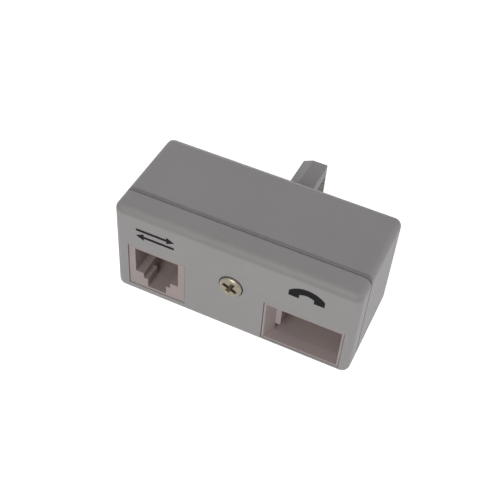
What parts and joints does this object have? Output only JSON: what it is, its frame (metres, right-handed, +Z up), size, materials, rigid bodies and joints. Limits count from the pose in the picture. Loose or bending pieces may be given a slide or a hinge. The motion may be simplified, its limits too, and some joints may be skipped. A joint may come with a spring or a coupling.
{
  "type": "dsl filter",
  "caption": "Plug-in DSL line filter: rounded moulded housing with a modem jack and a phone socket in front, a cross-head screw between them and a plug tongue behind.",
  "frame": {"origin": "on the base plane, at the middle of the overall width and of the overall depth, plug tongue included", "axes": "+X across the front towards the phone socket, +Y towards the plug tongue, +Z up from the base"},
  "size_m": [0.052, 0.0398, 0.0237],
  "materials": {
    "housing_plastic": "fine moulded satin",
    "jack_plastic": "moulded satin",
    "socket_plastic": "moulded satin",
    "screw_metal": "nickel plate",
    "contact_metal": "thin gold plate",
    "board_laminate": "paper laminate",
    "ferrite": "ground ceramic",
    "bobbin_plastic": "moulded",
    "winding_copper": "enamelled wire",
    "capacitor_case": "moulded case",
    "resistor_coat": "lacquer"
  },
  "bodies": {
    "root": {"bell_capacitor": "capacitor_case", "choke_bobbin_1": "bobbin_plastic", "choke_bobbin_2": "bobbin_plastic", "choke_core_back_1": "ferrite", "choke_core_back_2": "ferrite", "choke_core_front_1": "ferrite", "choke_core_front_2": "ferrite", "choke_winding_1": "winding_copper", "choke_winding_2": "winding_copper", "circuit_board": "board_laminate", "cover_screw": "screw_metal", "damping_resistor": "resistor_coat", "filter_capacitor_1": "capacitor_case", "filter_capacitor_2": "capacitor_case", "front_cover": "housing_plastic", "line_contact_1": "contact_metal", "line_contact_2": "contact_metal", "line_contact_3": "contact_metal", "line_contact_4": "contact_metal", "modem_contact_1": "contact_metal", "modem_contact_2": "contact_metal", "modem_contact_3": "contact_metal", "modem_contact_4": "contact_metal", "modem_jack_housing": "jack_plastic", "phone_contact_1": "contact_metal", "phone_contact_2": "contact_metal", "phone_contact_3": "contact_metal", "phone_contact_4": "contact_metal", "phone_socket_housing": "socket_plastic", "rear_shell": "housing_plastic"}
  },
  "joints": []
}
